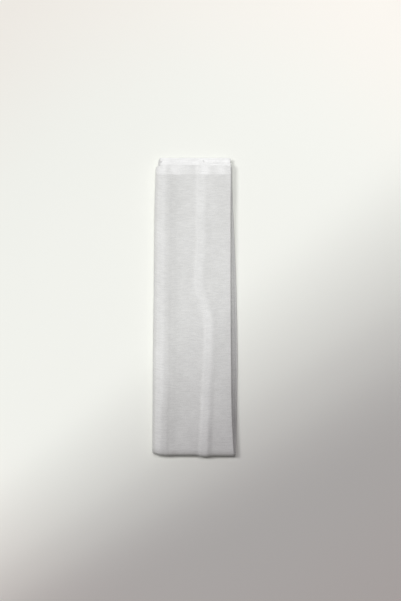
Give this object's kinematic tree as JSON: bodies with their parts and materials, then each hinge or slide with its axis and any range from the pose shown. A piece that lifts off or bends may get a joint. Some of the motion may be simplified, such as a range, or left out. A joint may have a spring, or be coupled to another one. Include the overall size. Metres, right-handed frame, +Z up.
{
  "type": "folded bandana",
  "caption": "Plain white square cotton bandana with a turned stitched hem, folded into a long strip and doubled over, lying flat.",
  "frame": {"origin": "middle of the folded pack's footprint, on the surface that it lies on", "axes": "+Y along the strip towards the open hemmed end, +X across it towards the side where the under half shows, +Z up"},
  "size_m": [0.0759, 0.2802, 0.011],
  "materials": {
    "cotton": "matt white crepe-like plain weave with a turned, stitched hem"
  },
  "bodies": {
    "root": {"folded_cloth": "cotton"}
  },
  "joints": []
}
